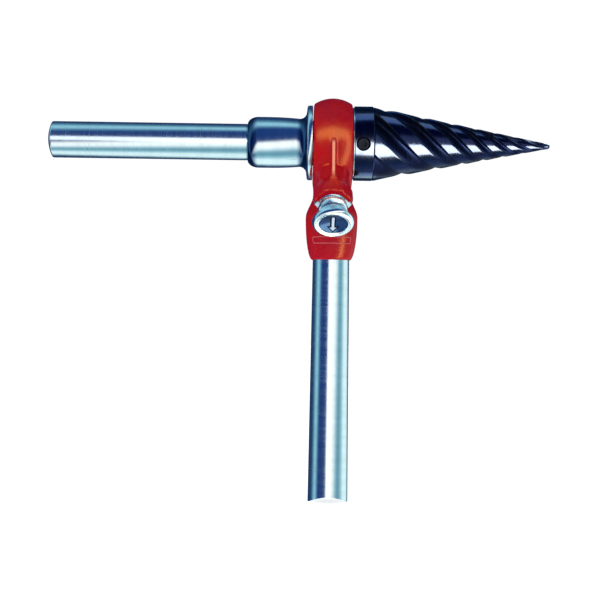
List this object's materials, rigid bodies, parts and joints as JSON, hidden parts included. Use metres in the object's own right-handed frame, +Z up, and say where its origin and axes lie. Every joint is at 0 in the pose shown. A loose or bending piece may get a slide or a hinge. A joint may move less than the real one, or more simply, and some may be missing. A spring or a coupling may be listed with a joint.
{
  "type": "deburring tool",
  "caption": "Hand-operated ratcheting pipe deburring tool: a helically fluted cone driven by a side handle through a reversible ratchet head, with a straight feed handle behind.",
  "frame": {"origin": "on the reaming axis, in the plane where the plain collar meets the fluted cone", "axes": "+X along the reaming axis towards the cone's tip; +Z up, away from the ratchet handle; the pawl knob faces -Y"},
  "size_m": [0.373, 0.089, 0.2995],
  "materials": {
    "head_enamel": "gloss red enamel over a casting",
    "handle_steel": "turned and polished",
    "screw_black": "black oxide",
    "zinc_plate": "bright plate",
    "spring_steel": "oiled wire",
    "tool_steel": "hardened and ground",
    "blued_steel": "blue-black oxide",
    "bronze": "plain bearing bronze"
  },
  "bodies": {
    "head": {"ratchet_head": "head_enamel", "ratchet_handle": "handle_steel", "handle_set_screw": "screw_black", "gear_circlip": "screw_black", "pawl_bonnet": "zinc_plate", "bonnet_washer": "zinc_plate", "pawl_spring": "spring_steel"},
    "reamer": {"reamer_cone": "blued_steel", "cone_collar": "blued_steel", "cone_set_screws": "screw_black", "front_washer": "zinc_plate", "spindle": "tool_steel", "ratchet_gear": "tool_steel", "gear_key": "tool_steel", "nut_washer": "zinc_plate", "spindle_nut": "zinc_plate", "rear_thrust_washer": "bronze"},
    "feed_handle": {"feed_bush": "bronze", "feed_hub": "handle_steel", "feed_tube": "handle_steel", "feed_end_cap": "handle_steel"},
    "pawl_lifter": {"pawl_washer": "zinc_plate"},
    "pawl_bolt": {"pawl": "tool_steel", "pawl_knob": "zinc_plate", "knob_pin": "zinc_plate"}
  },
  "joints": [
    {"name": "reamer_spin", "type": "hinge", "parent": "head", "child": "reamer", "pos_m": [0, 0, 0], "axis": [1, 0, 0], "continuous": true},
    {"name": "feed_spin", "type": "hinge", "parent": "reamer", "child": "feed_handle", "pos_m": [-0.1, 0, 0], "axis": [1, 0, 0], "continuous": true},
    {"name": "pawl_lift", "type": "slide", "parent": "head", "child": "pawl_lifter", "axis": [0, -0.5736, -0.8192], "range_m": [0, 0.005], "stiffness_N_per_m": 1500, "springref_m": -0.006, "deforming": ["pawl_spring"]},
    {"name": "pawl_turn", "type": "hinge", "parent": "pawl_lifter", "child": "pawl_bolt", "pos_m": [-0.0297, 0, 0], "axis": [0, -0.5736, -0.8192], "range_deg": [0, 180]}
  ]
}
